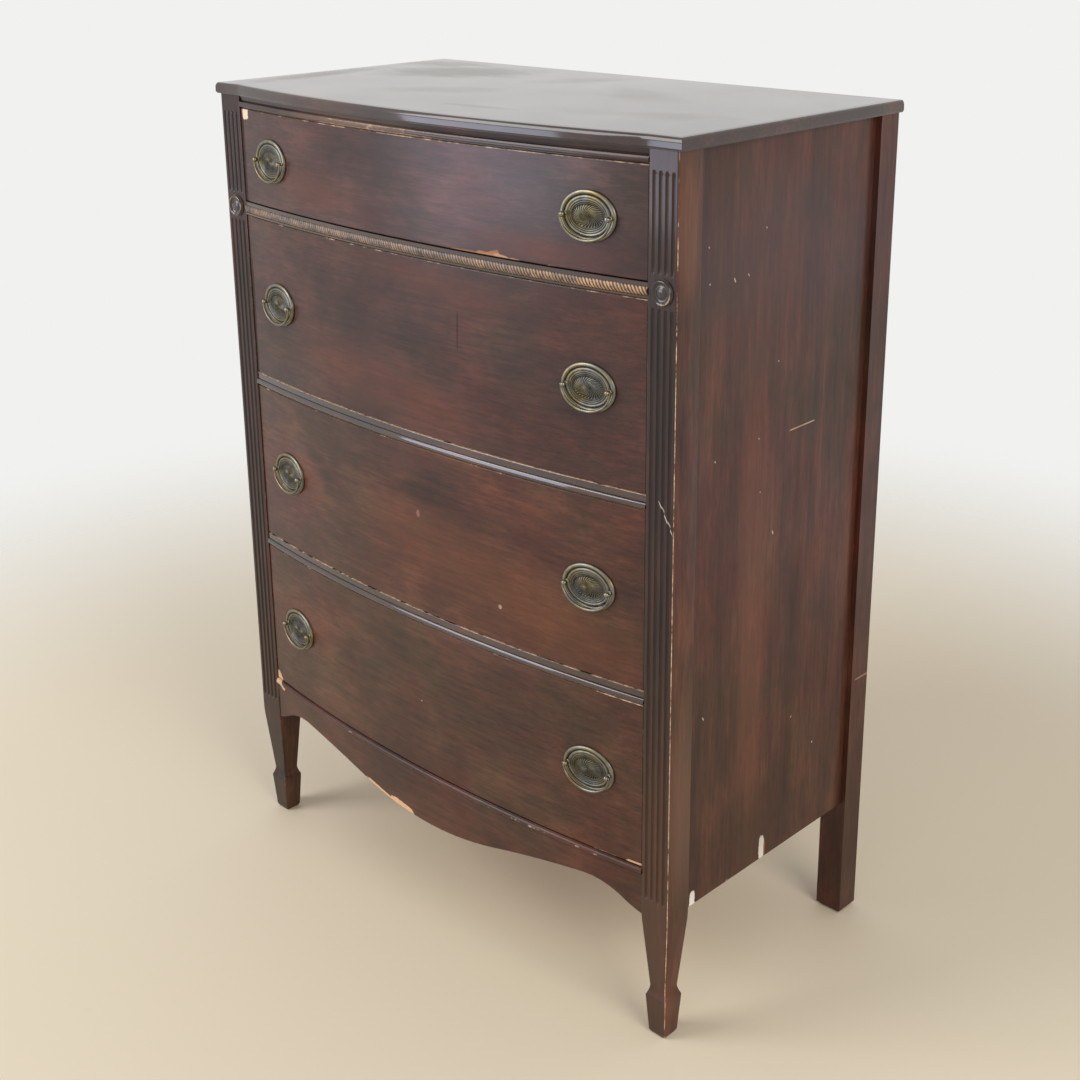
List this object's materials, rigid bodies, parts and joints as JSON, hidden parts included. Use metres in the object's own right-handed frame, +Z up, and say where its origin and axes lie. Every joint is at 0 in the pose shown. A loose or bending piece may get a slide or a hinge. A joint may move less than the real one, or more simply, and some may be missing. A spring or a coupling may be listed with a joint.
{
  "type": "bow front chest of drawers",
  "caption": "Tall bow front chest of drawers on tapered spade-foot legs, with fluted corner posts, reeded rails, a rope moulding, a shaped apron and oval brass bail pulls.",
  "frame": {"origin": "middle of the bounding box's bottom face, on the floor", "axes": "+Z up, front faces -Y, +X to the right as seen from the front"},
  "size_m": [0.856, 0.471, 1.168],
  "materials": {
    "mahogany": "dark red-brown mahogany veneer, satin varnish",
    "mahogany_top": "dark mahogany veneer, glossy varnish",
    "gilt_rope": "carved rope bead, dark stain rubbed through to gold on the high spots",
    "drawer_lining": "plain sanded hardwood",
    "secondary_wood": "plain sawn and planed softwood and thin panel",
    "antique_brass": "antique brass with dark patina in the hollows",
    "steel": "plain"
  },
  "bodies": {
    "case": {"top_board": "mahogany_top", "front_post_left": "mahogany", "front_post_right": "mahogany", "back_post_left": "mahogany", "back_post_right": "mahogany", "side_panel_left": "mahogany", "side_panel_right": "mahogany", "back_panel": "secondary_wood", "frieze_rail": "mahogany", "rope_rail": "mahogany", "rope_moulding": "gilt_rope", "middle_rail": "mahogany", "lower_rail": "mahogany", "bottom_rail": "secondary_wood", "apron": "mahogany", "post_rosettes": "mahogany", "drawer_runners": "secondary_wood", "drawer_guides": "secondary_wood", "top_kickers": "secondary_wood", "back_rails": "secondary_wood", "dust_panels": "secondary_wood", "drawer_stops": "secondary_wood", "corner_blocks": "secondary_wood", "top_screws": "steel"},
    "drawer_1": {"drawer_1_front": "mahogany", "drawer_1_side_left": "drawer_lining", "drawer_1_side_right": "drawer_lining", "drawer_1_back": "drawer_lining", "drawer_1_bottom": "drawer_lining", "drawer_1_pull_plates": "antique_brass", "drawer_1_pull_posts": "antique_brass"},
    "drawer_1_bail_left": {"drawer_1_bail_left": "antique_brass"},
    "drawer_1_bail_right": {"drawer_1_bail_right": "antique_brass"},
    "drawer_2": {"drawer_2_front": "mahogany", "drawer_2_side_left": "drawer_lining", "drawer_2_side_right": "drawer_lining", "drawer_2_back": "drawer_lining", "drawer_2_bottom": "drawer_lining", "drawer_2_pull_plates": "antique_brass", "drawer_2_pull_posts": "antique_brass"},
    "drawer_2_bail_left": {"drawer_2_bail_left": "antique_brass"},
    "drawer_2_bail_right": {"drawer_2_bail_right": "antique_brass"},
    "drawer_3": {"drawer_3_front": "mahogany", "drawer_3_side_left": "drawer_lining", "drawer_3_side_right": "drawer_lining", "drawer_3_back": "drawer_lining", "drawer_3_bottom": "drawer_lining", "drawer_3_pull_plates": "antique_brass", "drawer_3_pull_posts": "antique_brass"},
    "drawer_3_bail_left": {"drawer_3_bail_left": "antique_brass"},
    "drawer_3_bail_right": {"drawer_3_bail_right": "antique_brass"},
    "drawer_4": {"drawer_4_front": "mahogany", "drawer_4_side_left": "drawer_lining", "drawer_4_side_right": "drawer_lining", "drawer_4_back": "drawer_lining", "drawer_4_bottom": "drawer_lining", "drawer_4_pull_plates": "antique_brass", "drawer_4_pull_posts": "antique_brass"},
    "drawer_4_bail_left": {"drawer_4_bail_left": "antique_brass"},
    "drawer_4_bail_right": {"drawer_4_bail_right": "antique_brass"}
  },
  "joints": [
    {"name": "drawer_1_slide", "type": "slide", "parent": "case", "child": "drawer_1", "axis": [0, -1, 0], "range_m": [0, 0.3]},
    {"name": "drawer_1_bail_left_swing", "type": "hinge", "parent": "drawer_1", "child": "drawer_1_bail_left", "pos_m": [-0.29894, -0.21203, 1.06925], "axis": [-0.9923, 0.1238, 0], "range_deg": [0, 170]},
    {"name": "drawer_1_bail_right_swing", "type": "hinge", "parent": "drawer_1", "child": "drawer_1_bail_right", "pos_m": [0.29894, -0.21203, 1.06925], "axis": [-0.9923, -0.1238, 0], "range_deg": [0, 170]},
    {"name": "drawer_2_slide", "type": "slide", "parent": "case", "child": "drawer_2", "axis": [0, -1, 0], "range_m": [0, 0.3]},
    {"name": "drawer_2_bail_left_swing", "type": "hinge", "parent": "drawer_2", "child": "drawer_2_bail_left", "pos_m": [-0.29894, -0.21203, 0.866], "axis": [-0.9923, 0.1238, 0], "range_deg": [0, 170]},
    {"name": "drawer_2_bail_right_swing", "type": "hinge", "parent": "drawer_2", "child": "drawer_2_bail_right", "pos_m": [0.29894, -0.21203, 0.866], "axis": [-0.9923, -0.1238, 0], "range_deg": [0, 170]},
    {"name": "drawer_3_slide", "type": "slide", "parent": "case", "child": "drawer_3", "axis": [0, -1, 0], "range_m": [0, 0.3]},
    {"name": "drawer_3_bail_left_swing", "type": "hinge", "parent": "drawer_3", "child": "drawer_3_bail_left", "pos_m": [-0.29894, -0.21203, 0.6115], "axis": [-0.9923, 0.1238, 0], "range_deg": [0, 170]},
    {"name": "drawer_3_bail_right_swing", "type": "hinge", "parent": "drawer_3", "child": "drawer_3_bail_right", "pos_m": [0.29894, -0.21203, 0.6115], "axis": [-0.9923, -0.1238, 0], "range_deg": [0, 170]},
    {"name": "drawer_4_slide", "type": "slide", "parent": "case", "child": "drawer_4", "axis": [0, -1, 0], "range_m": [0, 0.3]},
    {"name": "drawer_4_bail_left_swing", "type": "hinge", "parent": "drawer_4", "child": "drawer_4_bail_left", "pos_m": [-0.29894, -0.21203, 0.3605], "axis": [-0.9923, 0.1238, 0], "range_deg": [0, 170]},
    {"name": "drawer_4_bail_right_swing", "type": "hinge", "parent": "drawer_4", "child": "drawer_4_bail_right", "pos_m": [0.29894, -0.21203, 0.3605], "axis": [-0.9923, -0.1238, 0], "range_deg": [0, 170]}
  ]
}
